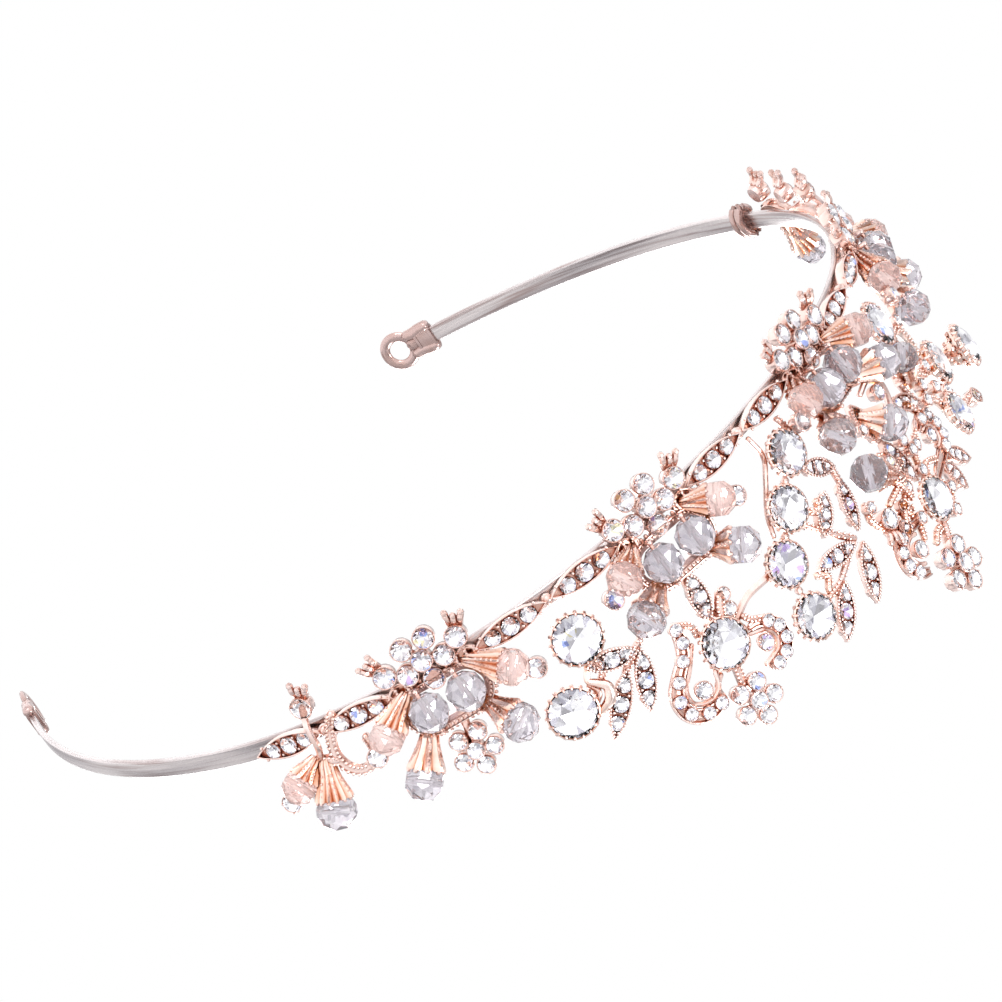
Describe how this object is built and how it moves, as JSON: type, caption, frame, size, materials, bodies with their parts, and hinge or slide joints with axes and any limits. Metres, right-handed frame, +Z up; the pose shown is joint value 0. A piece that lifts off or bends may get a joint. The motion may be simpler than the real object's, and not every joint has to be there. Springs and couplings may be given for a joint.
{
  "type": "bridal tiara",
  "caption": "Rose gold bridal tiara: a rail of pave leaves, flower and bead units and tall stone sprays on a flat open headband that ends in hairpin loops.",
  "frame": {"origin": "middle of the underside: the centre of the bounding box in X and Y, at the level of the lowest stones", "axes": "+Z up with the ornament's tips upward as worn, -Y out of the front of the ornament, +X towards the wearer's left"},
  "size_m": [0.1476, 0.1534, 0.0542],
  "materials": {
    "rose_gold": "cast and plated rose gold, bright on edges and darker copper in the recesses, with fine milgrain",
    "band_metal": "polished silver-coloured spring strip with a soft pink cast",
    "clear_crystal": "clear faceted glass beads with a pale lilac-grey cast and visible bores",
    "pink_crystal": "translucent peach-pink faceted glass beads",
    "rhinestone": "clear round brilliant rhinestones with silvered backs"
  },
  "bodies": {
    "tiara_frame": {"bead_unit_left_1": "rose_gold", "bead_unit_left_2": "rose_gold", "bead_unit_right_1": "rose_gold", "bead_unit_right_2": "rose_gold", "crystal_bead_inner_left_1": "clear_crystal", "crystal_bead_inner_left_2": "clear_crystal", "crystal_bead_inner_right_1": "clear_crystal", "crystal_bead_inner_right_2": "clear_crystal", "crystal_bead_outer_left_1": "clear_crystal", "crystal_bead_outer_left_2": "clear_crystal", "crystal_bead_outer_right_1": "clear_crystal", "crystal_bead_outer_right_2": "clear_crystal", "crystal_bead_swirl_right": "clear_crystal", "end_crystal_bead_left": "clear_crystal", "end_crystal_bead_right": "clear_crystal", "end_group_left": "rose_gold", "end_group_right": "rose_gold", "end_loop_left": "rose_gold", "end_loop_right": "rose_gold", "end_pink_bead_left": "pink_crystal", "end_pink_bead_right": "pink_crystal", "headband_strip": "band_metal", "leaf_pair_front": "rose_gold", "leaf_pair_left_1": "rose_gold", "leaf_pair_left_2": "rose_gold", "leaf_pair_right_1": "rose_gold", "leaf_pair_right_2": "rose_gold", "pink_bead_inner_left_1": "pink_crystal", "pink_bead_inner_left_2": "pink_crystal", "pink_bead_inner_right_1": "pink_crystal", "pink_bead_inner_right_2": "pink_crystal", "pink_bead_outer_left_1": "pink_crystal", "pink_bead_outer_left_2": "pink_crystal", "pink_bead_outer_right_1": "pink_crystal", "pink_bead_outer_right_2": "pink_crystal", "spray_front": "rose_gold", "spray_left": "rose_gold", "spray_right": "rose_gold", "stone_front_1": "rhinestone", "stone_front_2": "rhinestone", "stone_front_3": "rhinestone", "stone_front_4": "rhinestone", "stone_left_high": "rhinestone", "stone_left_low": "rhinestone", "stone_left_swirl": "rhinestone", "stone_right_high": "rhinestone", "stone_right_low": "rhinestone", "stone_right_swirl": "rhinestone", "stone_right_top": "rhinestone", "strip_clip_right": "rose_gold", "swirl_left": "rose_gold", "swirl_right": "rose_gold"},
    "spinning_bead_inner_left_1": {"tray_bead_inner_left_1": "clear_crystal"},
    "spinning_bead_inner_left_2": {"tray_bead_inner_left_2": "clear_crystal"},
    "spinning_bead_inner_right_1": {"tray_bead_inner_right_1": "clear_crystal"},
    "spinning_bead_inner_right_2": {"tray_bead_inner_right_2": "clear_crystal"},
    "spinning_bead_outer_left_1": {"tray_bead_outer_left_1": "clear_crystal"},
    "spinning_bead_outer_left_2": {"tray_bead_outer_left_2": "clear_crystal"},
    "spinning_bead_outer_right_1": {"tray_bead_outer_right_1": "clear_crystal"},
    "spinning_bead_outer_right_2": {"tray_bead_outer_right_2": "clear_crystal"}
  },
  "joints": [
    {"name": "spin_inner_left_1", "type": "hinge", "parent": "tiara_frame", "child": "spinning_bead_inner_left_1", "pos_m": [0.01745, -0.07036, 0.01453], "axis": [-0.0247, 0.1016, -0.9945], "continuous": true},
    {"name": "spin_inner_left_2", "type": "hinge", "parent": "tiara_frame", "child": "spinning_bead_inner_left_2", "pos_m": [0.0535, -0.05191, 0.01274], "axis": [-0.0756, 0.0722, -0.9945], "continuous": true},
    {"name": "spin_inner_right_1", "type": "hinge", "parent": "tiara_frame", "child": "spinning_bead_inner_right_1", "pos_m": [-0.01743, -0.07028, 0.01373], "axis": [0.0247, 0.1016, -0.9945], "continuous": true},
    {"name": "spin_inner_right_2", "type": "hinge", "parent": "tiara_frame", "child": "spinning_bead_inner_right_2", "pos_m": [-0.05355, -0.05195, 0.01333], "axis": [0.0756, 0.0722, -0.9945], "continuous": true},
    {"name": "spin_outer_left_1", "type": "hinge", "parent": "tiara_frame", "child": "spinning_bead_outer_left_1", "pos_m": [0.02367, -0.06885, 0.01453], "axis": [-0.0247, 0.1016, -0.9945], "continuous": true},
    {"name": "spin_outer_left_2", "type": "hinge", "parent": "tiara_frame", "child": "spinning_bead_outer_left_2", "pos_m": [0.05792, -0.04728, 0.01274], "axis": [-0.0756, 0.0722, -0.9945], "continuous": true},
    {"name": "spin_outer_right_1", "type": "hinge", "parent": "tiara_frame", "child": "spinning_bead_outer_right_1", "pos_m": [-0.02365, -0.06877, 0.01373], "axis": [0.0247, 0.1016, -0.9945], "continuous": true},
    {"name": "spin_outer_right_2", "type": "hinge", "parent": "tiara_frame", "child": "spinning_bead_outer_right_2", "pos_m": [-0.05797, -0.04732, 0.01333], "axis": [0.0756, 0.0722, -0.9945], "continuous": true}
  ]
}
